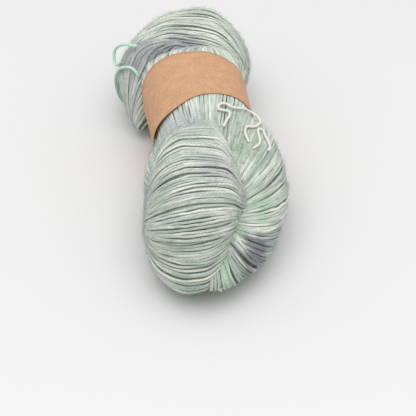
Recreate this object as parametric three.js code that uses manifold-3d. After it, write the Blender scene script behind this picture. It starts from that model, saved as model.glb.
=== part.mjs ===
// A skein of yarn: one hank, twisted and folded into itself, with a paper band round its waist
// and two short ties. Millimetres, +Z up. The skein lies along Y with its near end at -Y, and the
// origin is on the table under the middle of it.
//
// The hank is one solid of lobes grown together: the core, which runs the whole length and narrows
// at the waist, at each end a lobe that folds over the core from one side to the other, and a side
// lobe that bulges to the left just past the band. The furrows between the lobes are the main
// twists of the skein.

import * as THREE from 'three';
import { mergeVertices } from 'three/addons/utils/BufferGeometryUtils.js';
import Module from 'manifold-3d';

const wasm = await Module();
wasm.setup();

// ---- Driving sizes -------------------------------------------------------------------------

const BAND_GAP = 0.7;          // between the yarn and the paper
const BAND_THICKNESS = 1.0;
const BAND_STEPS_ROUND = 56;
const BAND_STEPS_ACROSS = 6;
const BAND_LIFT = 2.0;         // how far the paper's near left corner stands off the yarn
const FLAT_SPOT = 0.5;         // how much yarn is pressed flat where the skein lies on the table
const THREAD_DIAMETER = 1.6;   // white cotton tie
const TIE_DIAMETER = 2.0;      // mint wool tie
const STRAND_SIDES = 8;

// ---- Lobes ---------------------------------------------------------------------------------
// A row is a section across the lobe's own axis: where it is, how far it reaches to its low and
// high side, and its bottom and top.

const CORE = {
  name: 'core', axis: 'y', from: -133, to: 132, blunt: 4.2, square: 2.3, steps: 52, sides: 36,
  sections: [
    { at: -133, low: -32, high: 14, bottom: 0.0, top: 43 },
    { at: -108, low: -38, high: 32, bottom: 0.0, top: 48 },
    { at: -80, low: -42, high: 42, bottom: 0.0, top: 53 },
    { at: -52, low: -44.5, high: 47, bottom: 0.0, top: 57 },
    { at: -29, low: -40, high: 47.5, bottom: 0.6, top: 61 },
    { at: -18, low: -34.5, high: 43, bottom: 1.8, top: 64.2 },
    { at: -9, low: -29.5, high: 34, bottom: 2.6, top: 66.5 },
    { at: 57, low: -31, high: 36.5, bottom: 2.6, top: 66.5 },
    { at: 66, low: -36, high: 42, bottom: 0.0, top: 63 },
    { at: 76, low: -40, high: 44, bottom: 0.0, top: 58 },
    { at: 94, low: -40, high: 42, bottom: 0.0, top: 52 },
    { at: 112, low: -36, high: 38, bottom: 0.0, top: 46 },
    { at: 132, low: -28, high: 30, bottom: 2.0, top: 40 },
  ],
};

const NEAR_LOBE = {
  name: 'near lobe', axis: 'x', from: -47.5, to: 36, blunt: 5.5, square: 2.8, steps: 34, sides: 40,
  sections: [
    { at: -47.5, low: -125, high: -50, bottom: 2, top: 58 },
    { at: -28, low: -132, high: -20, bottom: 0, top: 67 },
    { at: -18, low: -133, high: -12, bottom: 2, top: 70 },
    { at: -8, low: -126, high: -10, bottom: 6, top: 70 },
    { at: 2, low: -111, high: -9, bottom: 16, top: 69 },
    { at: 6, low: -103, high: -13, bottom: 20, top: 66 },
    { at: 10, low: -96, high: -20, bottom: 18, top: 60 },
    { at: 14, low: -92, high: -28, bottom: 14, top: 52 },
    { at: 22, low: -90, high: -40, bottom: 8, top: 43 },
    { at: 36, low: -90, high: -60, bottom: 8, top: 36 },
  ],
};

const FAR_LOBE = {
  name: 'far lobe', axis: 'x', from: -38, to: 47.5, blunt: 3.1, square: 2.2, steps: 26, sides: 36,
  sections: [
    { at: -38, low: 80, high: 124, bottom: 4, top: 54 },
    { at: -3, low: 68, high: 130, bottom: 0, top: 65 },
    { at: 22, low: 60, high: 133, bottom: 0, top: 67 },
    { at: 47.5, low: 57, high: 130, bottom: 0, top: 60 },
  ],
};

const SIDE_LOBE = {
  name: 'side lobe', axis: 'y', from: 50, to: 116, blunt: 2.6, square: 2.3, steps: 20, sides: 28,
  sections: [
    { at: 50, low: -42, high: -26, bottom: 0, top: 20 },
    { at: 60, low: -45, high: -12, bottom: 0, top: 46 },
    { at: 71, low: -45, high: 14, bottom: 0, top: 65 },
    { at: 86, low: -45, high: 8, bottom: 0, top: 58 },
    { at: 116, low: -36, high: -4, bottom: 6, top: 40 },
  ],
};

// ---- Paper band ----------------------------------------------------------------------------
// The strip was lapped a little askew, so its edges wander along the skein. A row gives both
// edges at a turn round the waist, in degrees from the top, with the left side negative.

const BAND_EDGES = [
  { turn: -180, near: -2, far: 50 },
  { turn: -125, near: -6, far: 47.5 },
  { turn: -80, near: -9, far: 54 },
  { turn: -45, near: -8, far: 54 },
  { turn: 5, near: 1, far: 52 },
  { turn: 45, near: 1, far: 47.5 },
  { turn: 90, near: -1, far: 48 },
  { turn: 180, near: -2, far: 50 },
];

// ---- Ties ----------------------------------------------------------------------------------
// Each strand follows its points over the yarn, one radius and a little more above it.

const TIES = [
  {
    name: 'white_tie_long', diameter: THREAD_DIAMETER, colour: 0xece9e2, steps: 64,
    route: [
      [9.5, -29.0, 61.8], [12.5, -23.7, 63.2], [14.9, -20.4, 64.2], [14.6, -17.3, 65.1],
      [11.8, -16.7, 65.6], [8.9, -15.9, 66.1], [8.7, -13.4, 66.8], [11.2, -11.4, 67.2],
      [14.2, -11.8, 66.8], [17.0, -13.9, 65.9], [20.8, -14.0, 64.5], [24.8, -11.8, 62.3],
      [28.6, -11.0, 59.4], [32.0, -13.9, 58.4], [34.0, -16.3, 57.1], [34.7, -18.9, 56.1],
      [33.1, -22.8, 57.0], [30.4, -26.6, 58.2], [27.4, -28.0, 59.2], [24.6, -28.6, 60.0],
      [22.7, -31.4, 59.8], [22.4, -35.0, 58.8], [22.9, -38.7, 57.9], [23.3, -41.3, 57.3],
    ],
  },
  {
    name: 'white_tie_bight', diameter: THREAD_DIAMETER, colour: 0xece9e2, steps: 34,
    route: [
      [25.3, -46.3, 55.8], [27.6, -44.0, 55.6], [29.7, -41.5, 55.3], [30.9, -38.1, 55.4],
      [31.1, -34.3, 56.1], [31.0, -31.1, 56.9], [31.7, -28.8, 57.2], [33.4, -27.6, 56.4],
      [34.9, -28.5, 55.2], [35.2, -31.1, 54.4], [36.0, -34.1, 53.5], [36.8, -37.3, 52.2],
      [36.9, -40.9, 51.5], [35.1, -44.9, 52.2],
    ],
  },
  {
    name: 'mint_tie_ring', diameter: TIE_DIAMETER, colour: 0xa9d8c0, steps: 28,
    route: [
      [-42.1, 87.0, 9.0], [-44.8, 85.5, 16.0], [-46.3, 83.5, 24.0], [-46.9, 80.5, 32.0],
      [-46.0, 76.0, 40.2], [-43.8, 71.0, 46.6], [-40.7, 67.2, 49.5], [-37.8, 64.4, 50.5],
      [-35.2, 61.9, 49.3], [-33.2, 60.2, 46.0],
    ],
  },
  {
    name: 'mint_tie_loop', diameter: TIE_DIAMETER, colour: 0xa9d8c0, steps: 28,
    route: [
      [-32.5, 74.0, 61.2], [-36.0, 76.4, 60.6], [-39.6, 79.4, 59.8], [-42.8, 82.2, 57.6],
      [-45.3, 84.6, 54.2], [-46.7, 85.4, 49.8], [-47.0, 84.0, 45.6], [-46.6, 80.8, 43.8],
      [-45.4, 77.0, 45.8], [-43.6, 73.8, 49.8],
    ],
  },
];

// ---- Ways of making shapes -----------------------------------------------------------------

// A column of a table at any place along it: a smooth curve through the rows that has no
// overshoot, because a row that is a peak or a hollow gets a level tangent.
function column(rows, key, value, place) {
  const last = rows.length - 1;
  const slope = (i) => (rows[i + 1][value] - rows[i][value]) / (rows[i + 1][key] - rows[i][key]);
  const tangent = (i) => {
    if (i === 0 || i === last) return 0;
    const before = slope(i - 1);
    const after = slope(i);
    return before * after <= 0 ? 0 : (2 * before * after) / (before + after);
  };
  if (place <= rows[0][key]) return rows[0][value];
  if (place >= rows[last][key]) return rows[last][value];
  const i = rows.findIndex((row) => row[key] > place) - 1;
  const span = rows[i + 1][key] - rows[i][key];
  const t = (place - rows[i][key]) / span;
  const [t2, t3] = [t * t, t * t * t];
  return (2 * t3 - 3 * t2 + 1) * rows[i][value] + (t3 - 2 * t2 + t) * span * tangent(i)
    + (3 * t2 - 2 * t3) * rows[i + 1][value] + (t3 - t2) * span * tangent(i + 1);
}

const signedPower = (value, power) => Math.sign(value) * Math.abs(value) ** power;

// One section of a lobe: a rounded square in the plane across the lobe's axis. At either end the
// section shrinks to nothing, which closes the lobe with a dome.
function section(lobe, place, sides) {
  const middle = (lobe.from + lobe.to) / 2;
  const reach = Math.min(1, Math.abs(place - middle) / ((lobe.to - lobe.from) / 2));
  const dome = Math.sqrt(1 - reach ** lobe.blunt);
  const read = (value) => column(lobe.sections, 'at', value, place);
  const [low, high, bottom, top] = [read('low'), read('high'), read('bottom'), read('top')];
  const points = [];
  for (let side = 0; side < sides; side += 1) {
    const angle = (2 * Math.PI * side) / sides;
    const across = signedPower(Math.cos(angle), 2 / lobe.square);
    const up = signedPower(Math.sin(angle), 2 / lobe.square);
    points.push([
      (low + high) / 2 + (dome * across * (high - low)) / 2,
      (bottom + top) / 2 + (dome * up * (top - bottom)) / 2,
    ]);
  }
  return points;
}

// The rings of a lobe, closer together near its ends, joined into a closed skin with a point at
// each pole.
function lobeGeometry(lobe) {
  const middle = (lobe.from + lobe.to) / 2;
  const half = (lobe.to - lobe.from) / 2;
  const place = (across, along, up) => (
    lobe.axis === 'y' ? [across, along, up] : [along, across, up]
  );
  const vertices = [];
  for (let step = 1; step < lobe.steps; step += 1) {
    const along = middle - half * Math.cos((Math.PI * step) / lobe.steps);
    section(lobe, along, lobe.sides).forEach(([across, up]) => {
      vertices.push(place(across, along, up));
    });
  }
  const rings = lobe.steps - 1;
  [lobe.from, lobe.to].forEach((end) => {
    const [across, up] = section(lobe, end, 1)[0];
    vertices.push(place(across, end, up));
  });
  const faces = [];
  const at = (ring, side) => ring * lobe.sides + (side % lobe.sides);
  for (let side = 0; side < lobe.sides; side += 1) {
    faces.push([rings * lobe.sides, at(0, side), at(0, side + 1)]);
    faces.push([rings * lobe.sides + 1, at(rings - 1, side + 1), at(rings - 1, side)]);
    for (let ring = 0; ring < rings - 1; ring += 1) {
      faces.push([at(ring, side), at(ring + 1, side), at(ring + 1, side + 1)]);
      faces.push([at(ring, side), at(ring + 1, side + 1), at(ring, side + 1)]);
    }
  }
  // The rings of an X lobe turn the other way about its axis, so its faces are turned over.
  if (lobe.axis === 'x') faces.forEach((face) => face.reverse());
  return meshOf(vertices, faces);
}

function meshOf(vertices, faces) {
  const geometry = new THREE.BufferGeometry();
  geometry.setAttribute('position', new THREE.Float32BufferAttribute(vertices.flat(), 3));
  geometry.setIndex(faces.flat());
  geometry.computeVertexNormals();
  return geometry;
}

function solidOf(geometry) {
  const bare = geometry.clone();
  bare.deleteAttribute('normal');
  bare.deleteAttribute('uv');
  const merged = mergeVertices(bare);
  return new wasm.Manifold(new wasm.Mesh({
    numProp: 3,
    vertProperties: new Float32Array(merged.attributes.position.array),
    triVerts: new Uint32Array(merged.index.array),
  }));
}

function geometryOf(solid) {
  const { vertProperties, triVerts } = solid.getMesh();
  const geometry = new THREE.BufferGeometry();
  geometry.setAttribute('position', new THREE.BufferAttribute(vertProperties, 3));
  geometry.setIndex(new THREE.BufferAttribute(triVerts, 1));
  geometry.computeVertexNormals();
  return geometry;
}

// ---- Pieces --------------------------------------------------------------------------------

// The lobes grown together, with the underside cut level where it lies on the table.
function hankGeometry() {
  const lobes = [CORE, NEAR_LOBE, FAR_LOBE, SIDE_LOBE].map((lobe) => solidOf(lobeGeometry(lobe)));
  const depth = 20;
  const table = new THREE.BoxGeometry(400, 400, depth).translate(0, 0, FLAT_SPOT - depth / 2);
  const hank = lobes.reduce((whole, lobe) => whole.add(lobe)).subtract(solidOf(table));
  return geometryOf(hank).translate(0, 0, -FLAT_SPOT);
}

// Where the paper lies at a turn round the waist and a place along it: on the core's section,
// moved outwards. Its near left corner stands off the yarn.
function bandPoint(turn, along, offset) {
  const fine = 720;
  const ring = section(CORE, along, fine);
  const side = Math.round(fine * (0.25 - turn / 360) + 2 * fine) % fine;
  const [x, z] = ring[side];
  const ahead = ring[(side + 2) % fine];
  const behind = ring[(side + fine - 2) % fine];
  const length = Math.hypot(ahead[0] - behind[0], ahead[1] - behind[1]);
  const normal = [(ahead[1] - behind[1]) / length, -(ahead[0] - behind[0]) / length];
  const corner = Math.exp(-(((turn + 65) / 35) ** 2)) * Math.max(0, 1 - (along + 6) / 24);
  const out = offset + BAND_LIFT * corner;
  return [x + out * normal[0], along, z + out * normal[1] - FLAT_SPOT];
}

// A loop of paper: an outer and an inner skin joined along both edges.
function bandGeometry() {
  const across = BAND_STEPS_ACROSS;
  const rows = 2 * (across + 1);
  const vertices = [];
  for (let step = 0; step < BAND_STEPS_ROUND; step += 1) {
    const turn = -180 + (360 * step) / BAND_STEPS_ROUND;
    const near = column(BAND_EDGES, 'turn', 'near', turn);
    const far = column(BAND_EDGES, 'turn', 'far', turn);
    for (let row = 0; row < rows; row += 1) {
      const outer = row <= across;
      const share = outer ? row / across : (rows - 1 - row) / across;
      const along = near + share * (far - near);
      vertices.push(bandPoint(turn, along, outer ? BAND_GAP + BAND_THICKNESS : BAND_GAP));
    }
  }
  const faces = [];
  const at = (step, row) => (step % BAND_STEPS_ROUND) * rows + (row % rows);
  for (let step = 0; step < BAND_STEPS_ROUND; step += 1) {
    for (let row = 0; row < rows; row += 1) {
      faces.push([at(step, row), at(step + 1, row), at(step + 1, row + 1)]);
      faces.push([at(step, row), at(step + 1, row + 1), at(step, row + 1)]);
    }
  }
  return meshOf(vertices, faces);
}

// A strand is a round tube along a smooth curve through its route.
function strandGeometry({ route, diameter, steps }) {
  const round = new THREE.Shape();
  for (let side = 0; side < STRAND_SIDES; side += 1) {
    const angle = (2 * Math.PI * side) / STRAND_SIDES;
    const corner = [(diameter / 2) * Math.cos(angle), (diameter / 2) * Math.sin(angle)];
    if (side === 0) round.moveTo(...corner);
    else round.lineTo(...corner);
  }
  const points = route.map((point) => new THREE.Vector3(...point));
  const extrudePath = new THREE.CatmullRomCurve3(points, false, 'centripetal');
  return new THREE.ExtrudeGeometry(round, { steps, extrudePath });
}

// ---- The skein -----------------------------------------------------------------------------

function piece(name, geometry, colour, roughness) {
  const material = new THREE.MeshStandardMaterial({ color: colour, roughness, metalness: 0 });
  const mesh = new THREE.Mesh(geometry, material);
  mesh.name = name;
  return mesh;
}

const skein = new THREE.Group();
skein.add(piece('hank', hankGeometry(), 0xb9c8c0, 0.9));
skein.add(piece('paper_band', bandGeometry(), 0xe0aa7d, 0.8));
TIES.forEach((tie) => skein.add(piece(tie.name, strandGeometry(tie), tie.colour, 0.9)));

export default skein;
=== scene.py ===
"""A twisted skein of hand-dyed yarn with a paper band round its waist and two short ties.

The scene is in metres with +Z up. The skein lies along Y with its near end at -Y. The tables of
lobes, band edges and tie routes are in millimetres, as a maker would measure them, and hold the
same sizes as the part's own. Work in millimetres goes through MM when a mesh is made.
"""

import math

import bpy
import numpy as np
from mathutils.bvhtree import BVHTree
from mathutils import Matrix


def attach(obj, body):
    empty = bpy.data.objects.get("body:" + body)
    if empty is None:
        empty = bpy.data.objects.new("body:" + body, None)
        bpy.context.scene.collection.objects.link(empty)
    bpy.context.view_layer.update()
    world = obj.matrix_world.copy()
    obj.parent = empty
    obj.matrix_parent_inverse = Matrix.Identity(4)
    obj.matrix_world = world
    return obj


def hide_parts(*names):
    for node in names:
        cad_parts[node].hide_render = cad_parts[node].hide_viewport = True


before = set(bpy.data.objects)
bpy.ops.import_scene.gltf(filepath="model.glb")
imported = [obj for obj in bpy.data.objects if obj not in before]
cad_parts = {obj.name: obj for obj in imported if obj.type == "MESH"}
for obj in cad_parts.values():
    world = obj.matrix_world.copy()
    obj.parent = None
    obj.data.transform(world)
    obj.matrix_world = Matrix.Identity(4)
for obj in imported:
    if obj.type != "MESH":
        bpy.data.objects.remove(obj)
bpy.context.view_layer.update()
bpy.ops.object.select_all(action="DESELECT")

MM = 0.001

# ---- Sizes, in millimetres unless they say otherwise ------------------------------------------

FLAT_SPOT = 0.5  # how far the underside of the lobes is pressed flat on the table
YARN = 1.85  # across one turn of the yarn
FIBRE = 0.12  # across a stray fibre of the yarn's fuzz
PLY_PITCH = 7.0  # along the yarn for one full twist of its plies
UNDER_LAYER = 1.7  # how far the lower layer of turns lies below the upper one
HEART_DEPTH = 4.2  # how far below a lobe's skin its heart starts
TUCKED = 5.0  # how deep inside another lobe a turn still runs before it stops
TURN_STEP = 3.0  # between the points along a turn of the yarn
SHORTEST = 4  # points in the shortest stretch of a turn that is kept
COARSE_RAYS, FINE_RAYS = 40, 64  # rays from pole to pole, to space the turns and to lay them
WELL_APART = 85  # the percentile of the gaps along two turns at which they are a pitch apart
TIP_WIDTH, TIP_REACH = 0.6, 0.3  # a strand's closed tips, as shares of its own width
THREAD = 1.6  # across the white cotton tie
TIE_YARN = 2.0  # across the mint tie
TIE_STEP = 0.5  # between the points along a tie
PLY_DEPTH = {2: 0.16, 3: 0.1}  # how far a tie's two or three plies stand out, as a share of its radius
PAPER = 0.35  # thickness of the band's paper
PAPER_REACH = 1.35  # from the core's skin to the middle of the paper
BAND_LIFT = 2.0  # how far the paper's near left corner stands off the yarn
LIFTED_TURN, LIFTED_ARC = -65, 35  # the lifted corner's turn round the waist, and its spread, in degrees
LIFTED_EDGE, LIFTED_RUN = -6, 24  # where along the skein it starts, and how far it fades
UNDER_BAND = 0.85  # how far the turns' crowns stand off the core's skin where the band holds them
BAND_GRIP = 12.0  # how far past its edges the band still levels the turns
CLOSE_GRIP = 0.6  # the band's grip above which no fibre stands up

# How the turns stray from an even winding. Sideways and up are in millimetres.
UNEVEN = 0.2  # how far a gap between two turns is out at most, as a share of it
GAP_SHARE, GAP = 0.08, 0.4  # the share of the turns with a wider gap, and how much wider it is
SWAY, WANDER, KINK = 0.9, 0.42, 0.2  # sideways: together with its neighbours, alone, and in kinks
SWELL = 0.55  # up and down, together with its neighbours
LIFT = (-0.55, 0.2)  # the height of a turn's crown over the lobe's skin, before the swell
CROSSING_SHARE, CROSSING_SLANT = 0.16, 9  # the share of the turns that cross others, and how far
CROSSING_LIFT = (0.0, 0.6)  # the same height for a turn that crosses others
DIVE, DIVE_RUN = (0.5, 3.5), 4  # how far a turn dives at its poles, and over what length
HIGHEST = 0.6  # the most that a turn's crown stands off the skin

# A stray fibre: how long it is, and how it leans, rises and curls.
FIBRE_POINTS = 3
FIBRE_LENGTH = (1.5, 5.5)
FIBRE_ROOT = 0.42  # how far above the middle of its turn it springs, as a share of the yarn
FIBRE_LEAN, FIBRE_RISE = 0.8, (0.2, 1.1)
FIBRE_CURL, FIBRE_DROOP = 0.09, 0.06

# A lobe is a table of sections across its own axis: where each is, how far it reaches to its low
# and high side, and its bottom and top. Blunt rounds its two ends and square its sections.
LOBES = {
    "core": dict(
        axis="y", start=-133, end=132, blunt=4.2, square=2.3,
        sections=[  # at, low, high, bottom, top
            (-133, -32, 14, 0, 43), (-108, -38, 32, 0, 48), (-80, -42, 42, 0, 53),
            (-52, -44.5, 47, 0, 57), (-29, -40, 47.5, 0.6, 61), (-18, -34.5, 43, 1.8, 64.2),
            (-9, -29.5, 34, 2.6, 66.5), (57, -31, 36.5, 2.6, 66.5), (66, -36, 42, 0, 63),
            (76, -40, 44, 0, 58), (94, -40, 42, 0, 52), (112, -36, 38, 0, 46),
            (132, -28, 30, 2, 40),
        ],
    ),
    "near": dict(
        axis="x", start=-47.5, end=36, blunt=5.5, square=2.8,
        sections=[
            (-47.5, -125, -50, 2, 58), (-28, -132, -20, 0, 67), (-18, -133, -12, 2, 70),
            (-8, -126, -10, 6, 70), (2, -111, -9, 16, 69), (6, -103, -13, 20, 66),
            (10, -96, -20, 18, 60), (14, -92, -28, 14, 52), (22, -90, -40, 8, 43),
            (36, -90, -60, 8, 36),
        ],
    ),
    "far": dict(
        axis="x", start=-38, end=47.5, blunt=3.1, square=2.2,
        sections=[
            (-38, 80, 124, 4, 54), (-3, 68, 130, 0, 65), (22, 60, 133, 0, 67),
            (47.5, 57, 130, 0, 60),
        ],
    ),
    "side": dict(
        axis="y", start=50, end=116, blunt=2.6, square=2.3,
        sections=[
            (50, -42, -26, 0, 20), (60, -45, -12, 0, 46), (71, -45, 14, 0, 65),
            (86, -45, 8, 0, 58), (116, -36, -4, 6, 40),
        ],
    ),
}

# How the yarn is wound on the lobes: its turns run from one pole to the other, like the lines on a
# gourd, with a pitch from one turn to the next where they are well apart. Reach is how far along
# the skein its turns are kept. The core has a winding at each end, and the two meet under the
# band. Fuzz is a number of stray fibres.
WINDINGS = {
    "core_near": dict(
        lobe="core", poles=((-8, -94, 45), (12, 60, -20)), reach=(-140, 28),
        pitch=2.0, fuzz=5000, seed=11,
    ),
    "core_far": dict(
        lobe="core", poles=((20, -40, 30), (18, 80, 52)), reach=(22, 140),
        pitch=1.8, fuzz=300, seed=17,
    ),
    "near": dict(
        lobe="near", poles=((-44, -68, 20), (30, -82, 34)), reach=(-140, 20),
        pitch=2.0, fuzz=5200, seed=23,
    ),
    "far": dict(
        lobe="far", poles=((47, 74, 26), (-36, 102, 34)), reach=(30, 140),
        pitch=2.0, fuzz=3000, seed=37,
    ),
    "side": dict(
        lobe="side", poles=((10, 76, 54), (-36, 54, 6)), reach=(30, 140),
        pitch=2.0, fuzz=1300, seed=41,
    ),
}

# The band's two edges along the skein, at turns round the waist in degrees from the top.
BAND_EDGES = np.array([  # turn, near, far
    (-180, -2, 50), (-125, -6, 47.5), (-80, -9, 54), (-45, -8, 54), (5, 1, 52),
    (45, 1, 47.5), (90, -1, 48), (180, -2, 50),
], float)

# Each tie follows its route over the yarn.
TIES = [
    dict(
        name="white_tie_long", across=THREAD, plies=2, pitch=4.2, finish="cotton", far_end="bare",
        route=[
            (9.5, -29, 61.8), (12.5, -23.7, 63.2), (14.9, -20.4, 64.2), (14.6, -17.3, 65.1),
            (11.8, -16.7, 65.6), (8.9, -15.9, 66.1), (8.7, -13.4, 66.8), (11.2, -11.4, 67.2),
            (14.2, -11.8, 66.8), (17, -13.9, 65.9), (20.8, -14, 64.5), (24.8, -11.8, 62.3),
            (28.6, -11, 59.4), (32, -13.9, 58.4), (34, -16.3, 57.1), (34.7, -18.9, 56.1),
            (33.1, -22.8, 57), (30.4, -26.6, 58.2), (27.4, -28, 59.2), (24.6, -28.6, 60),
            (22.7, -31.4, 59.8), (22.4, -35, 58.8), (22.9, -38.7, 57.9), (23.3, -41.3, 57.3),
        ],
    ),
    dict(
        name="white_tie_bight", across=THREAD, plies=2, pitch=4.2, finish="cotton", far_end="bare",
        route=[
            (25.3, -46.3, 55.8), (27.6, -44, 55.6), (29.7, -41.5, 55.3), (30.9, -38.1, 55.4),
            (31.1, -34.3, 56.1), (31, -31.1, 56.9), (31.7, -28.8, 57.2), (33.4, -27.6, 56.4),
            (34.9, -28.5, 55.2), (35.2, -31.1, 54.4), (36, -34.1, 53.5), (36.8, -37.3, 52.2),
            (36.9, -40.9, 51.5), (35.1, -44.9, 52.2),
        ],
    ),
    dict(
        name="mint_tie_ring", across=TIE_YARN, plies=3, pitch=6, finish="mint", far_end="object",
        route=[
            (-42.1, 87, 9), (-44.8, 85.5, 16), (-46.3, 83.5, 24), (-46.9, 80.5, 32),
            (-46, 76, 40.2), (-43.8, 71, 46.6), (-40.7, 67.2, 49.5), (-37.8, 64.4, 50.5),
            (-35.2, 61.9, 49.3), (-33.2, 60.2, 46),
        ],
    ),
    dict(
        name="mint_tie_loop", across=TIE_YARN, plies=3, pitch=6, finish="mint", far_end="bare",
        route=[
            (-32.5, 74, 61.2), (-36, 76.4, 60.6), (-39.6, 79.4, 59.8), (-42.8, 82.2, 57.6),
            (-45.3, 84.6, 54.2), (-46.7, 85.4, 49.8), (-47, 84, 45.6), (-46.6, 80.8, 43.8),
            (-45.4, 77, 45.8), (-43.6, 73.8, 49.8),
        ],
    ),
]

# Where the dye pooled: the middle of each patch, how far it reaches, its colour and strength.
DYE_POOLS = [
    dict(at=(15, -118, 28), reach=20, colour=(0.21, 0.2, 0.23), strength=0.85),
    dict(at=(36, -100, 24), reach=20, colour=(0.34, 0.36, 0.42), strength=0.6),
    dict(at=(24, -91, 43), reach=14, colour=(0.42, 0.58, 0.44), strength=0.7),
    dict(at=(-3, -130, 24), reach=14, colour=(0.48, 0.64, 0.48), strength=0.7),
    dict(at=(24, -48, 54), reach=17, colour=(0.36, 0.5, 0.36), strength=0.55),
    dict(at=(-20, -17, 58), reach=20, colour=(0.5, 0.51, 0.55), strength=0.6),
    dict(at=(-42, -62, 46), reach=17, colour=(0.42, 0.46, 0.5), strength=0.5),
    dict(at=(-30, 74, 56), reach=24, colour=(0.36, 0.36, 0.39), strength=0.75),
    dict(at=(-4, 70, 64), reach=22, colour=(0.34, 0.34, 0.38), strength=0.75),
    dict(at=(-44, 64, 24), reach=34, colour=(0.5, 0.52, 0.5), strength=0.5),
    dict(at=(0, -78, 68), reach=24, colour=(0.4, 0.42, 0.43), strength=0.45),
    dict(at=(-25, -122, 56), reach=20, colour=(0.36, 0.42, 0.34), strength=0.5),
]


# ---- Camera -------------------------------------------------------------------------------------


def add_camera(target, azimuth, elevation, distance, lens):
    """A camera that looks at the target, from an azimuth off -Y and a height above the horizon."""
    turn, rise = math.radians(azimuth), math.radians(elevation)
    back = np.array((math.sin(turn) * math.cos(rise), -math.cos(turn) * math.cos(rise), math.sin(rise)))
    bpy.ops.object.camera_add(
        location=(np.array(target) + distance * back) * MM, rotation=(math.pi / 2 - rise, 0, turn)
    )
    camera = bpy.context.object
    camera.data.lens = lens
    camera.data.sensor_width = 36
    camera.data.clip_start = 0.01
    bpy.context.scene.camera = camera


add_camera(target=(-8.5, -81, 40), azimuth=-9, elevation=38, distance=930, lens=133.53)


# ---- Finishes -----------------------------------------------------------------------------------


class Wire:
    """A socket in a finish's nodes. Sums and products of wires add the nodes that work them out."""

    def __init__(self, finish, socket):
        self.finish, self.socket = finish, socket

    def _sum(self, operation, *values, vector=False):
        kind = "ShaderNodeVectorMath" if vector else "ShaderNodeMath"
        return self.finish.node(kind, {"operation": operation}, dict(enumerate(values)))

    def __add__(self, other):
        return self._sum("ADD", self, other)

    def __sub__(self, other):
        return self._sum("SUBTRACT", self, other)

    def __rsub__(self, other):
        return self._sum("SUBTRACT", other, self)

    def __mul__(self, other):
        return self._sum("MULTIPLY", self, other)

    __radd__, __rmul__ = __add__, __mul__

    def wave(self):
        """The sine of this many full turns."""
        return self._sum("SINE", self * (2 * math.pi))

    def moved(self, other):
        return self._sum("ADD", self, other, vector=True)

    def spread(self, factors):
        return self._sum("MULTIPLY", self, factors, vector=True)

    def step(self, low, high):
        """0 below low and 1 above high, with a soft edge. Low above high turns it over."""
        settings = {"interpolation_type": "SMOOTHSTEP"}
        return self.finish.node(
            "ShaderNodeMapRange", settings, {"Value": self, "From Min": low, "From Max": high}
        )

    def toward(self, other, share):
        """This colour, mixed with another one by a share."""
        return self.finish.mix("MIX", share, self, other)


class Finish:
    """A material, worked up from the Principled shader that it starts with."""

    def __init__(self, name, constants):
        self.material = bpy.data.materials.new(name)
        self.material.use_nodes = True
        self.tree = self.material.node_tree
        self.shader = self.tree.nodes["Principled BSDF"]
        for socket, value in constants.items():
            self.shader.inputs[socket].default_value = value

    def node(self, kind, settings=None, inputs=None, output=0):
        """Adds a node with its settings, then the values or wires of its sockets."""
        node = self.tree.nodes.new(kind)
        for key, value in (settings or {}).items():
            if key == "stops":
                for place, colour in value[2:]:
                    node.color_ramp.elements.new(place)
                for element, (place, colour) in zip(node.color_ramp.elements, value):
                    element.position, element.color = place, (*colour, 1)
            else:
                setattr(node, key, value)
        for key, value in (inputs or {}).items():
            self.feed(node.inputs[key], value)
        return Wire(self, node.outputs[output])

    def feed(self, socket, value):
        if isinstance(value, Wire):
            self.tree.links.new(value.socket, socket)
        elif socket.type == "RGBA" and len(value) == 3:
            socket.default_value = (*value, 1)
        else:
            socket.default_value = value

    def mix(self, blend, share, one, other):
        """Two colours mixed. The colour sockets of the node are its seventh and eighth."""
        settings = {"data_type": "RGBA", "blend_type": blend, "clamp_factor": True}
        return self.node("ShaderNodeMix", settings, {0: share, 6: one, 7: other}, output=2)

    def noise(self, place, scale, detail=2.0, roughness=0.5):
        inputs = {"Vector": place, "Scale": scale, "Detail": detail, "Roughness": roughness}
        return self.node("ShaderNodeTexNoise", {}, inputs)

    def place(self):
        """Where a point is, in millimetres."""
        spot = self.node("ShaderNodeTexCoord", {}, {}, output="Object")
        return spot.spread((1000, 1000, 1000))

    def along_and_round(self):
        """A strand's own map: turns of its twist along it, and its turn round the strand."""
        chart = self.node("ShaderNodeUVMap", {"uv_map": "strand"})
        split = self.node("ShaderNodeSeparateXYZ", {}, {0: chart})
        return split, Wire(self, split.socket.node.outputs[1])

    def of_strand(self, name):
        """A number that each strand keeps along its whole length."""
        return self.node("ShaderNodeAttribute", {"attribute_name": name}, output="Fac")

    def bump(self, height, depth):
        """Raises the surface by height times depth millimetres."""
        inputs = {"Height": height, "Distance": depth * MM, "Strength": 1.0}
        self.feed(self.shader.inputs["Normal"], self.node("ShaderNodeBump", {}, inputs))

    def paint(self, **sockets):
        for name, wire in sockets.items():
            self.feed(self.shader.inputs[name.replace("_", " ")], wire)
        return self.material


def ply_relief(finish, plies):
    """The ridges of a strand's plies, from 0 in the grooves between them to 1 on top, a fine fibre
    that follows them, and the strand's flank, from 0 on its crown to 1 on its hidden side."""
    along, round_it = finish.along_and_round()
    lot = finish.of_strand("lot")
    ridges = (along + round_it + lot * 9.0) * float(plies)
    crest = ridges.wave() * 0.5 + 0.5
    joined = {"X": along * 3.0, "Y": ridges * 5.0, "Z": lot * 40.0}
    grain = finish.noise(finish.node("ShaderNodeCombineXYZ", {}, joined), 1.6, 3.0, 0.6)
    flank = 0.5 - (round_it + 0.25).wave() * 0.5
    return crest, grain, flank


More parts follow.
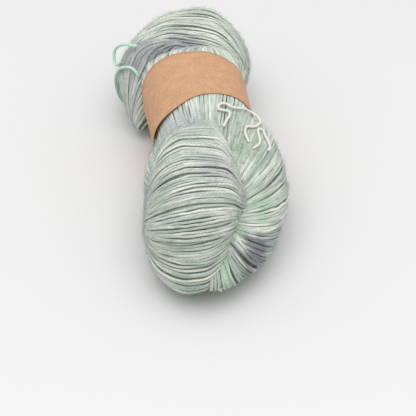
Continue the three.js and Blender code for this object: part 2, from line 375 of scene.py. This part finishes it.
def yarn_finish(name, shade, flank_shade):
    """Hand-dyed yarn. The dye drifts from pale mint to sage and grey over a few centimetres, pools
    in patches, and takes a little differently on each turn of the yarn. Shade is painted on top:
    the grooves between the plies are darker, and a strand darkens by flank_shade towards its hidden
    side, where its neighbours keep the light out."""
    finish = Finish(name, {"Roughness": 0.92, "Specular IOR Level": 0.25, "Sheen Weight": 0.08})
    lot = finish.of_strand("lot")
    spot = finish.place()
    shift = finish.node("ShaderNodeCombineXYZ", {}, {"X": lot * 7.0, "Y": lot * 19.0, "Z": lot * 5.0})
    drift = finish.noise(spot.moved(shift), 0.035, 2.0, 0.5)
    bands = finish.noise(spot.moved(shift.spread((2, 3, 2))), 0.11, 2.0, 0.55)
    streak = finish.noise(spot.moved(shift.spread((60, 60, 60))), 0.033, 2.0, 0.55)
    pale, sage, grey = (0.66, 0.71, 0.63), (0.5, 0.58, 0.49), (0.52, 0.53, 0.56)
    # cream and moss are streaks of the dye; shadow is the colour of the painted shade.
    cream, moss, shadow = (0.9, 0.88, 0.78), (0.36, 0.42, 0.37), (0.27, 0.3, 0.28)
    colour = finish.mix("MIX", drift.step(0.38, 0.66), pale, sage)
    colour = colour.toward(grey, bands.step(0.5, 0.72) * 0.6)
    colour = colour.toward(cream, streak.step(0.5, 0.66) * 0.6)
    colour = colour.toward(moss, streak.step(0.48, 0.36) * 0.5)
    for pool in DYE_POOLS:
        away = finish.node(
            "ShaderNodeVectorMath", {"operation": "DISTANCE"}, {0: spot, 1: pool["at"]}, output="Value"
        )
        ragged = away + (bands - 0.5) * 14.0 + (streak - 0.5) * 34.0
        share = ragged.step(pool["reach"], 0.35 * pool["reach"]) * pool["strength"]
        colour = colour.toward(pool["colour"], share)
    stops = [(0.0, (0.8, 0.82, 0.82)), (1.0, (1.0, 1.0, 1.0)), (0.5, (0.94, 0.95, 0.9))]
    take = finish.node("ShaderNodeValToRGB", {"stops": stops}, {0: lot})
    colour = finish.mix("MULTIPLY", 1.0, colour, take)
    crest, grain, flank = ply_relief(finish, 3)
    # Painted shade: darker in the grooves between the plies and towards the strand's hidden flank, mixed
    # with the yarn's own mottled grain.
    painted_shade_and_grain = (1.0 - crest) * 0.3 + (grain - 0.5) * 0.75 + flank.step(0.08, 0.6) * flank_shade
    colour = finish.mix("MULTIPLY", painted_shade_and_grain, colour, shadow)
    colour = finish.mix("MULTIPLY", 1.0, colour, (shade, shade, shade))
    finish.bump(crest * 0.35 + grain * 0.5, 0.2)
    return finish.paint(Base_Color=colour)


def tie_finish(name, tone, plies):
    """A plain tie: its plies and their fibre, with a little painted shade in the grooves and on its hidden
    side.
    """
    finish = Finish(name, {"Roughness": 0.85, "Sheen Weight": 0.3, "Sheen Roughness": 0.5})
    crest, grain, flank = ply_relief(finish, plies)
    # Painted shade in the grooves between the plies and on the tie's hidden side, mixed with its own
    # grain; (0.45, 0.45, 0.42) is the painted shade colour.
    painted_shade_and_grain = (1.0 - crest) * 0.25 + (grain - 0.5) * 0.2 + flank.step(0.3, 0.9) * 0.3
    colour = finish.mix("MULTIPLY", painted_shade_and_grain, tone, (0.45, 0.45, 0.42))
    finish.bump(grain, 0.15)
    return finish.paint(Base_Color=colour)


def paper_finish():
    """Kraft paper: tan pulp with long pale and dark fibres, cloudy where it is thicker."""
    finish = Finish("kraft_paper", {"Roughness": 0.8, "Specular IOR Level": 0.3})
    spot = finish.place()
    cloud = finish.noise(spot, 0.12, 3.0, 0.6)
    fibre = finish.noise(spot.spread((1.0, 0.22, 1.0)), 2.2, 4.0, 0.65)
    colour = finish.mix("MIX", cloud.step(0.3, 0.7), (0.48, 0.27, 0.145), (0.55, 0.32, 0.18))
    colour = colour.toward((0.34, 0.18, 0.1), fibre.step(0.5, 0.66) * 0.5)
    colour = colour.toward((0.7, 0.46, 0.3), fibre.step(0.46, 0.3) * 0.45)
    finish.bump(fibre * 0.6 + cloud, 0.1)
    return finish.paint(Base_Color=colour, Roughness=0.74 + fibre * 0.12)


def floor_finish():
    finish = Finish("table_top", {"Roughness": 0.7, "Specular IOR Level": 0.2})
    grain = finish.noise(finish.place(), 0.4, 3.0, 0.5)
    return finish.paint(Base_Color=finish.mix("MIX", grain, (0.65, 0.65, 0.65), (0.67, 0.67, 0.67)))


FINISHES = {
    "yarn": yarn_finish("dyed_yarn", 1.04, 0.6),
    # The fuzz: the same dye, a little brighter, as painted light on the stray fibres, and with almost none
    # of the painted flank shade.
    "fuzz": yarn_finish("dyed_yarn_fuzz", 1.12, 0.05),
    # The heart: the same dyed yarn at half brightness, as painted shade for the yarn deep inside the hank.
    "heart": yarn_finish("yarn_heart_in_painted_shade", 0.5, 0.7),
    "cotton": tie_finish("cotton_thread", (0.74, 0.72, 0.67), 2),
    "mint": tie_finish("mint_yarn", (0.46, 0.72, 0.59), 3),
    "paper": paper_finish(),
    "floor": floor_finish(),
}


# ---- Curves and meshes --------------------------------------------------------------------------


def between(table, places):
    """The columns of a table at any places along it, on smooth curves with no overshoot: a row
    that is a peak or a hollow gets a level tangent."""
    at, values = table[:, 0], table[:, 1:]
    slope = np.diff(values, axis=0) / np.diff(at)[:, None]
    before, after = slope[:-1], slope[1:]
    together = before * after > 0
    mean = 2 * before * after / np.where(together, before + after, 1)
    level = np.zeros_like(values[:1])
    tangent = np.vstack([level, np.where(together, mean, 0), level])
    places = np.clip(places, at[0], at[-1])
    row = np.clip(np.searchsorted(at, places, side="right") - 1, 0, len(at) - 2)
    span = (at[row + 1] - at[row])[:, None]
    t = (places - at[row])[:, None] / span
    return (
        (2 * t**3 - 3 * t**2 + 1) * values[row] + (t**3 - 2 * t**2 + t) * span * tangent[row]
        + (3 * t**2 - 2 * t**3) * values[row + 1] + (t**3 - t**2) * span * tangent[row + 1]
    )


def unit(vectors):
    return vectors / np.maximum(np.linalg.norm(vectors, axis=-1, keepdims=True), 1e-12)


def lengths_along(path):
    """How far along a path each of its points is."""
    return np.concatenate([[0], np.cumsum(np.linalg.norm(np.diff(path, axis=0), axis=1))])


def spaced(count, path, *others):
    """A path, and what goes with its points, at a number of evenly spaced points."""
    far = lengths_along(path)
    places = np.linspace(0, far[-1], count)
    return [np.stack([np.interp(places, far, c) for c in part.T], 1) for part in (path, *others)]


def evenly(path, gap, *others):
    """The same at even gaps."""
    return spaced(max(4, round(lengths_along(path)[-1] / gap) + 1), path, *others)


def smooth_route(points, gap):
    """A centripetal Catmull-Rom curve through the points, at even gaps."""
    points = np.array(points, float)
    points = np.vstack([2 * points[0] - points[1], points, 2 * points[-1] - points[-2]])
    out = []
    for p0, p1, p2, p3 in zip(points, points[1:], points[2:], points[3:]):
        d1, d2, d3 = (np.linalg.norm(b - a) ** 0.5 for a, b in ((p0, p1), (p1, p2), (p2, p3)))
        m1 = ((p1 - p0) / d1 - (p2 - p0) / (d1 + d2) + (p2 - p1) / d2) * d2
        m2 = ((p2 - p1) / d2 - (p3 - p1) / (d2 + d3) + (p3 - p2) / d3) * d2
        t = np.linspace(0, 1, 12, endpoint=False)[:, None]
        out.append(
            (2 * t**3 - 3 * t**2 + 1) * p1 + (t**3 - 2 * t**2 + t) * m1
            + (3 * t**2 - 2 * t**3) * p2 + (t**3 - t**2) * m2
        )
    return evenly(np.vstack([*out, points[-2]]), gap)[0]


def shown_mesh(name, vertices, faces, finish):
    """A piece at the origin, from points in millimetres."""
    mesh = bpy.data.meshes.new(name)
    mesh.from_pydata((np.asarray(vertices) * MM).tolist(), [], [list(map(int, f)) for f in faces])
    mesh.materials.append(FINISHES[finish])
    mesh.polygons.foreach_set("use_smooth", np.ones(len(mesh.polygons), bool))
    piece = bpy.data.objects.new(name, mesh)
    bpy.context.collection.objects.link(piece)
    return piece


def strands(name, paths, across, sides, pitch, finish, plies=0, ply_depth=0.0):
    """One mesh of round strands. Each path is (points, outward directions, lot). A strand gets a
    map of its twist, and keeps its lot along its length. Plies, where given, are real ridges."""
    rings, charts, lots, faces, offset = [], [], [], [], 0
    angle = 2 * np.pi * np.arange(sides) / sides
    for points, outward, lot in paths:
        count = len(points)
        ahead = unit(np.gradient(points, axis=0))
        up = unit(outward - (outward * ahead).sum(1, keepdims=True) * ahead)
        side = np.cross(ahead, up)
        far = lengths_along(points) / pitch
        radius = np.full((count, sides), across / 2)
        if plies:
            radius *= 1 + ply_depth * np.sin(plies * (angle + 2 * np.pi * far[:, None]))
        radius[[0, -1]] *= TIP_WIDTH
        ring = points[:, None] + radius[..., None] * (
            np.cos(angle)[None, :, None] * up[:, None] + np.sin(angle)[None, :, None] * side[:, None]
        )
        tips = points[[0, -1]] + ahead[[0, -1]] * [[-TIP_REACH * across], [TIP_REACH * across]]
        rings.append(np.vstack([ring.reshape(-1, 3), tips]))
        lots.append(np.full(count * sides + 2, lot))
        here = (np.arange(count - 1)[:, None] * sides + np.arange(sides)).ravel()
        beside = (np.arange(count - 1)[:, None] * sides + (np.arange(sides) + 1) % sides).ravel()
        quads = np.stack([here, beside, beside + sides, here + sides], 1) + offset
        last = (count - 1) * sides
        first_tip = count * sides
        edge = np.arange(sides)
        following = (edge + 1) % sides
        start_cap = np.stack([np.full(sides, first_tip), following, edge], 1) + offset
        end_cap = np.stack([np.full(sides, first_tip + 1), last + edge, last + following], 1) + offset
        faces += quads.tolist() + start_cap.tolist() + end_cap.tolist()
        u0, u1 = np.repeat(far[:-1], sides), np.repeat(far[1:], sides)
        v0 = np.tile(edge / sides, count - 1)
        v1 = v0 + 1 / sides
        charts.append(np.stack([u0, v0, u0, v1, u1, v1, u1, v0], 1).reshape(-1, 2))
        for at, pair in ((far[0], (following, edge)), (far[-1], (edge, following))):
            turned = np.stack([pair[0], pair[0], pair[1]], 1) / sides
            charts.append(np.stack([np.full((sides, 3), at), turned], 2).reshape(-1, 2))
        offset += count * sides + 2
    piece = shown_mesh(name, np.vstack(rings), faces, finish)
    chart = piece.data.uv_layers.new(name="strand")
    chart.data.foreach_set("uv", np.vstack(charts).astype(np.float32).ravel())
    marks = piece.data.attributes.new("lot", "FLOAT", "POINT")
    marks.data.foreach_set("value", np.concatenate(lots).astype(np.float32))
    return piece


def place_piece(piece, finish, *nodes):
    """The piece rides on the skein and stands for its nodes."""
    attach(piece, "root")
    if nodes:
        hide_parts(*nodes)
    return piece


# ---- Ties ---------------------------------------------------------------------------------------


def lay_tie(name, across, plies, pitch, finish, far_end, route):
    """A strand of a tie, laid over the yarn along its route, with its plies as real ridges."""
    route = smooth_route(route, TIE_STEP)
    outward = np.tile((0.05, -0.1, 1.0), (len(route), 1))
    strand = strands(
        name + "_strand", [(route, outward, 0.5)], across, 12, pitch, finish,
        plies=plies, ply_depth=PLY_DEPTH[plies],
    )
    place_piece(strand, finish, name)


for tie in TIES:
    lay_tie(**tie)


# ---- Hank ---------------------------------------------------------------------------------------


class Lobe:
    """One lobe of the hank, as a skin that its turns of yarn lie on."""

    def __init__(self, axis, start, end, blunt, square, sections):
        self.axis, self.start, self.end, self.blunt, self.square = axis, start, end, blunt, square
        self.sections = np.array(sections, float)
        self.tree = BVHTree.FromPolygons(*self.skin(110, 120))

    def measures(self, along):
        """Middle and half size of the sections, across and up, at places along the lobe."""
        reach = np.abs(along - (self.start + self.end) / 2) / ((self.end - self.start) / 2)
        dome = np.sqrt(1 - np.minimum(1, reach) ** self.blunt)
        low, high, bottom, top = between(self.sections, along).T
        return (low + high) / 2, (bottom + top) / 2, dome * (high - low) / 2, dome * (top - bottom) / 2

    def skin(self, rings, sides, sunk=0.0):
        """Points and faces of the lobe's skin, closed with a point at each pole. Sunk draws it in."""
        middle, half = (self.start + self.end) / 2, (self.end - self.start) / 2
        along = middle - half * np.cos(np.pi * np.arange(1, rings) / rings)
        angle = 2 * np.pi * np.arange(sides) / sides
        across0, up0, across1, up1 = self.measures(along)
        power = 2 / self.square
        side = np.sign(np.cos(angle)) * np.abs(np.cos(angle)) ** power
        rise = np.sign(np.sin(angle)) * np.abs(np.sin(angle)) ** power
        across1, up1 = np.maximum(across1 - sunk, 0.5), np.maximum(up1 - sunk, 0.5)
        grid = np.stack([
            across0[:, None] + across1[:, None] * side,
            np.repeat(along[:, None], sides, 1),
            up0[:, None] + up1[:, None] * rise - FLAT_SPOT,
        ], 2)
        ends = [
            (across0[row], end, up0[row] - FLAT_SPOT)
            for row, end in ((0, self.start + sunk), (-1, self.end - sunk))
        ]
        points = np.vstack([grid.reshape(-1, 3), np.array(ends)])
        n = rings - 1
        faces = []
        for k in range(sides):
            j = (k + 1) % sides
            faces.append((n * sides, k, j))
            faces.append((n * sides + 1, (n - 1) * sides + j, (n - 1) * sides + k))
            for ring in range(n - 1):
                here, above = ring * sides, (ring + 1) * sides
                faces.append((here + k, above + k, above + j, here + j))
        if self.axis == "x":
            points = points[:, [1, 0, 2]]
            faces = [face[::-1] for face in faces]
        return points.tolist(), faces

    def depth(self, points):
        """How far points are inside the lobe, or less than 0 outside it."""
        across, along = points[:, 0], points[:, 1]
        if self.axis == "x":
            across, along = along, across
        inside = (along > self.start) & (along < self.end)
        across0, up0, across1, up1 = self.measures(np.clip(along, self.start + 0.01, self.end - 0.01))
        ratio = (
            np.abs((across - across0) / across1) ** self.square
            + np.abs((points[:, 2] + FLAT_SPOT - up0) / up1) ** self.square
        ) ** (1 / self.square)
        return np.where(inside, (1 - ratio) * np.minimum(across1, up1), -1)


class Ripple:
    """A smooth random wave over the turns of a lobe and along them, from about -1 to 1."""

    def __init__(self, random, turns, runs, parts=7):
        self.turns = random.normal(0, turns, parts)
        self.runs = random.normal(0, runs, parts)
        self.phase = random.uniform(0, 2 * np.pi, parts)

    def at(self, turn, run):
        waves = np.sin(self.turns * turn + self.runs * np.asarray(run)[..., None] + self.phase)
        return waves.sum(-1) / math.sqrt(len(self.phase) / 2) / 1.5


def cast_turns(lobe, poles, angles, fine):
    """The line on the lobe's skin, with its outward directions, at each angle round the poles."""
    start, end = (np.array(p, float) - (0, 0, FLAT_SPOT) for p in poles)
    axis = unit(end - start)
    level = unit(np.cross(axis, (0, 0, 1)))
    upright = np.cross(level, axis)
    sweep = np.linspace(0, np.pi, fine)[:, None]
    middle = ((start + end) / 2).tolist()
    out = []
    for angle in angles:
        away = math.cos(angle) * level + math.sin(angle) * upright
        rays = np.sin(sweep) * away - np.cos(sweep) * axis
        hits = [lobe.tree.ray_cast(middle, ray.tolist()) for ray in rays]
        out.append([np.array([tuple(hit[part]) for hit in hits if hit[0] is not None]) for part in (0, 1)])
    return out


def band_grip(along):
    """1 where the band holds the turns level, falling to 0 a little way past its edges."""
    past = np.maximum(BAND_EDGES[:, 1].min() - along, along - BAND_EDGES[:, 2].max())
    return np.clip(1 - past / BAND_GRIP, 0, 1)


def turn_angles(lobe, poles, pitch, random):
    """The angle round the poles of each turn. The turns are about a pitch apart."""
    around = np.radians(np.arange(0, 361, 3))
    lines = cast_turns(lobe, poles, around, COARSE_RAYS)
    even = [spaced(COARSE_RAYS, points)[0] for points, _ in lines]
    apart = np.percentile(np.linalg.norm(np.diff(even, axis=0), axis=2), WELL_APART, axis=1)
    far = np.concatenate([[0], np.cumsum(apart)])
    count = round(far[-1] / pitch)
    gaps = random.uniform(1 - UNEVEN, 1 + UNEVEN, count)
    gaps[random.random(count) < GAP_SHARE] += GAP
    return np.interp(np.cumsum(gaps) / gaps.sum() * far[-1], far, around)


def stretches(seen):
    """Where each stretch of seen points starts and stops, without the shortest ones."""
    edges = np.flatnonzero(np.diff(np.concatenate([[0], seen.astype(int), [0]])))
    return [(first, stop) for first, stop in zip(edges[::2], edges[1::2]) if stop - first >= SHORTEST]


def wind(lobes, winding, sunk):
    """The turns of yarn of one winding, sunk below its lobe's skin. They clump, wander and cross a
    little, dive at the poles, lie level under the band, and stop inside another lobe."""
    lobe, poles = lobes[winding["lobe"]], winding["poles"]
    random = np.random.default_rng(winding["seed"] + int(10 * sunk))
    angles = turn_angles(lobe, poles, winding["pitch"], random)
    sway = Ripple(random, turns=3, runs=0.03)
    swell = Ripple(random, turns=9, runs=0.03)
    paths = []
    for angle, (points, normals) in zip(angles, cast_turns(lobe, poles, angles, FINE_RAYS)):
        points, normals = evenly(points, TURN_STEP, normals)
        normals = unit(normals)
        ahead = unit(np.gradient(points, axis=0))
        beside = np.cross(ahead, normals)
        run = lengths_along(points)
        own = Ripple(random, turns=0, runs=0.06, parts=4)
        kinks = Ripple(random, turns=0, runs=0.3, parts=5)
        aside = SWAY * sway.at(angle, run) + WANDER * own.at(0, run) + KINK * kinks.at(0, run)
        if random.random() < CROSSING_SHARE:
            slant = random.uniform(-CROSSING_SLANT, CROSSING_SLANT)
            aside = aside + slant * (run / run[-1] - random.uniform(0.2, 0.8))
            lift = random.uniform(*CROSSING_LIFT)
        else:
            lift = random.uniform(*LIFT)
        dive = np.exp(-run / DIVE_RUN) + np.exp(-(run[-1] - run) / DIVE_RUN)
        crown = np.minimum(lift + SWELL * swell.at(angle, run) - dive * random.uniform(*DIVE), HIGHEST)
        held = band_grip(points[:, 1]) if winding["lobe"] == "core" else 0.0
        height = crown + held * (UNDER_BAND - crown) - YARN / 2 - sunk
        points = points + aside[:, None] * beside + height[:, None] * normals
        points[:, 2] = np.maximum(points[:, 2], YARN / 2 + 0.05)
        seen = (points[:, 1] > winding["reach"][0]) & (points[:, 1] < winding["reach"][1])
        for shape in lobes.values():
            if shape is not lobe:
                seen &= shape.depth(points) < TUCKED
        lot = random.random()
        for first, stop in stretches(seen):
            paths.append((points[first:stop], normals[first:stop], lot))
    return paths


def fray(paths, count, seed):
    """Stray fibres that spring from the crowns of the turns and curl away."""
    random = np.random.default_rng(seed)
    shares = np.array([len(points) for points, _, _ in paths], float)
    fibres = []
    for pick in random.choice(len(paths), count, p=shares / shares.sum()):
        points, normals, lot = paths[pick]
        at = random.integers(1, len(points) - 1)
        ahead = unit(points[at + 1] - points[at - 1]) * random.choice((-1, 1))
        aside = np.cross(ahead, normals[at])
        lean, rise = random.normal(0, FIBRE_LEAN), random.uniform(*FIBRE_RISE)
        run = np.linspace(0, random.uniform(*FIBRE_LENGTH), FIBRE_POINTS)[:, None]
        curl = random.normal(0, FIBRE_CURL) * aside - random.uniform(0, FIBRE_DROOP) * normals[at]
        root = points[at] + FIBRE_ROOT * YARN * normals[at]
        if band_grip(root[1]) > CLOSE_GRIP:
            continue
        fibre = root + run * unit(ahead + lean * aside + rise * normals[at]) + run**2 * curl
        fibre[:, 2] = np.maximum(fibre[:, 2], 0.1)
        fibres.append((fibre, np.tile(normals[at], (FIBRE_POINTS, 1)), lot))
    return fibres


def wind_yarn(name, winding):
    """One winding: an upper and a lower layer of turns, and the upper one's fuzz."""
    for layer, sunk in (("outer", 0.0), ("under", UNDER_LAYER)):
        paths = wind(lobes, winding, sunk)
        turns = strands(f"{name}_turns_{layer}", paths, YARN, 7, PLY_PITCH, "yarn")
        place_piece(turns, "yarn", "hank")
        if layer == "outer":
            fibres = fray(paths, winding["fuzz"], winding["seed"])
            fuzz = strands(f"{name}_fuzz", fibres, FIBRE, 3, PLY_PITCH, "fuzz")
            place_piece(fuzz, "fuzz", "hank")


def fill_lobe(name, lobe):
    """A heart inside a lobe, so that no light shows between its turns. It is painted dark, the dyed yarn
    at half its brightness, as the shade deep inside the hank.
    """
    heart = shown_mesh(f"{name}_heart", *lobe.skin(40, 36, sunk=HEART_DEPTH), "heart")
    place_piece(heart, "heart", "hank")


lobes = {name: Lobe(**sizes) for name, sizes in LOBES.items()}
for name, winding in WINDINGS.items():
    wind_yarn(name, winding)
for name, lobe in lobes.items():
    fill_lobe(name, lobe)


# ---- Band ---------------------------------------------------------------------------------------


def band_point(turn, along, out):
    """Where the paper lies, at a turn round the waist and a place along it."""
    core = lobes["core"]
    across0, up0, across1, up1 = (m[0] for m in core.measures(np.array([float(along)])))

    def on_skin(degrees):
        angle, power = math.radians(90 - degrees), 2 / core.square
        c, s = math.cos(angle), math.sin(angle)
        return np.array((
            across0 + across1 * math.copysign(abs(c) ** power, c),
            up0 + up1 * math.copysign(abs(s) ** power, s),
        ))

    ahead = on_skin(turn - 1) - on_skin(turn + 1)
    normal = unit(np.array((ahead[1], -ahead[0])))
    corner = math.exp(-(((turn - LIFTED_TURN) / LIFTED_ARC) ** 2))
    corner *= max(0, 1 - (along - LIFTED_EDGE) / LIFTED_RUN)
    x, z = on_skin(turn) + (out + BAND_LIFT * corner) * normal
    return x, along, z - FLAT_SPOT


def lay_band():
    """A strip of kraft paper, closed round the waist. Its edges wander, as on a band put on askew."""
    steps, across = 120, 14
    points = []
    for step in range(steps):
        turn = -180 + 360 * step / steps
        near, far = between(BAND_EDGES, np.array([turn]))[0]
        for row in range(across + 1):
            points.append(band_point(turn, near + (far - near) * row / across, PAPER_REACH))
    faces = []
    for step in range(steps):
        for row in range(across):
            here = step * (across + 1) + row
            beside = (step + 1) % steps * (across + 1) + row
            faces.append((here, beside, beside + 1, here + 1))
    band = shown_mesh("paper_band_sheet", points, faces, "paper")
    bpy.context.view_layer.objects.active = band
    wall = band.modifiers.new("paper", "SOLIDIFY")
    wall.thickness, wall.offset = PAPER * MM, 0
    bpy.ops.object.modifier_apply(modifier=wall.name)
    place_piece(band, "paper", "paper_band")


lay_band()


# ---- Table and light ----------------------------------------------------------------------------


def add_floor():
    bpy.ops.mesh.primitive_plane_add(size=6, location=(0, 0, 0))
    floor = bpy.context.object
    floor.name = "table_top"
    floor.data.materials.append(FINISHES["floor"])


def add_panel(name, place, size, power, aim=(0, 0, 0.03)):
    """A soft square light."""
    bpy.ops.object.light_add(type="AREA", location=place)
    panel = bpy.context.object
    panel.name = name
    panel.data.size, panel.data.energy = size, power
    panel.rotation_euler = (panel.location - type(panel.location)(aim)).to_track_quat("Z", "Y").to_euler()


def light_room(brightness):
    """A white room that lights the table from all sides, in plain display colours."""
    scene = bpy.context.scene
    scene.view_settings.view_transform = "Standard"
    scene.world = scene.world or bpy.data.worlds.new("room")
    scene.world.use_nodes = True
    background = scene.world.node_tree.nodes["Background"]
    background.inputs["Color"].default_value = (1, 1, 1, 1)
    background.inputs["Strength"].default_value = brightness


add_floor()
light_room(brightness=0.9)
add_panel("window_above", place=(-0.1, -0.4, 1.4), size=1.7, power=14.5)
